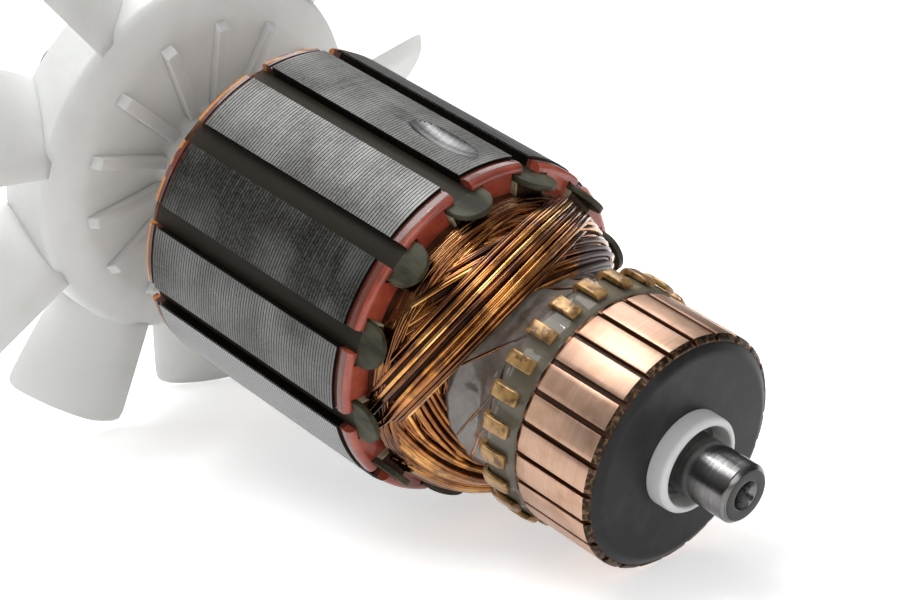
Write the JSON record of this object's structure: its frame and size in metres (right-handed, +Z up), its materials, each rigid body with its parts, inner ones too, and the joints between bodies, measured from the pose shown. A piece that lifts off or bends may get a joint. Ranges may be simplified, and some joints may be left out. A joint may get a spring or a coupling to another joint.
{
  "type": "motor armature",
  "caption": "Wound motor armature with a cooling fan, laminated core, varnished winding and copper commutator on a steel shaft.",
  "frame": {"origin": "middle of the commutator-end bearing journal, on the shaft's axis", "axes": "+Z up, +X level towards the commutator end; the shaft dips towards +X as the loose armature lies, and -Y is the side that shows in the picture"},
  "size_m": [0.1376, 0.0856, 0.0824],
  "materials": {
    "ground_steel": "ground and lightly polished, a fine circular grain",
    "core_steel": "edges of thin laminations, turned to size, fine lines across the shaft",
    "copper": "turned copper, satin, darker in the undercut between bars",
    "enamelled_wire": "enamelled copper wire under clear amber varnish, glossy",
    "resin": "grey-brown dip resin, glossy and uneven",
    "phenolic": "black phenolic moulding, satin",
    "red_plastic": "brick-red moulding under varnish, glossy",
    "white_nylon": "natural nylon, satin and slightly translucent",
    "insulating_paper": "smooth pressed paper",
    "fibre": "olive-grey vulcanised fibre under varnish, satin"
  },
  "bodies": {
    "root": {"shaft": "ground_steel", "insulating_tube": "white_nylon", "core": "core_steel", "front_end_plate": "red_plastic", "rear_end_plate": "red_plastic", "winding": "enamelled_wire", "binding_resin": "resin", "commutator_moulding": "phenolic", "fan": "white_nylon", "slot_liner_01": "insulating_paper", "slot_liner_02": "insulating_paper", "slot_liner_03": "insulating_paper", "slot_liner_04": "insulating_paper", "slot_liner_05": "insulating_paper", "slot_liner_06": "insulating_paper", "slot_liner_07": "insulating_paper", "slot_liner_08": "insulating_paper", "slot_liner_09": "insulating_paper", "slot_liner_10": "insulating_paper", "slot_liner_11": "insulating_paper", "slot_liner_12": "insulating_paper", "slot_wedge_01": "fibre", "slot_wedge_02": "fibre", "slot_wedge_03": "fibre", "slot_wedge_04": "fibre", "slot_wedge_05": "fibre", "slot_wedge_06": "fibre", "slot_wedge_07": "fibre", "slot_wedge_08": "fibre", "slot_wedge_09": "fibre", "slot_wedge_10": "fibre", "slot_wedge_11": "fibre", "slot_wedge_12": "fibre", "commutator_bar_01": "copper", "commutator_bar_02": "copper", "commutator_bar_03": "copper", "commutator_bar_04": "copper", "commutator_bar_05": "copper", "commutator_bar_06": "copper", "commutator_bar_07": "copper", "commutator_bar_08": "copper", "commutator_bar_09": "copper", "commutator_bar_10": "copper", "commutator_bar_11": "copper", "commutator_bar_12": "copper", "commutator_bar_13": "copper", "commutator_bar_14": "copper", "commutator_bar_15": "copper", "commutator_bar_16": "copper", "commutator_bar_17": "copper", "commutator_bar_18": "copper", "commutator_bar_19": "copper", "commutator_bar_20": "copper", "commutator_bar_21": "copper", "commutator_bar_22": "copper", "commutator_bar_23": "copper", "commutator_bar_24": "copper"}
  },
  "joints": []
}
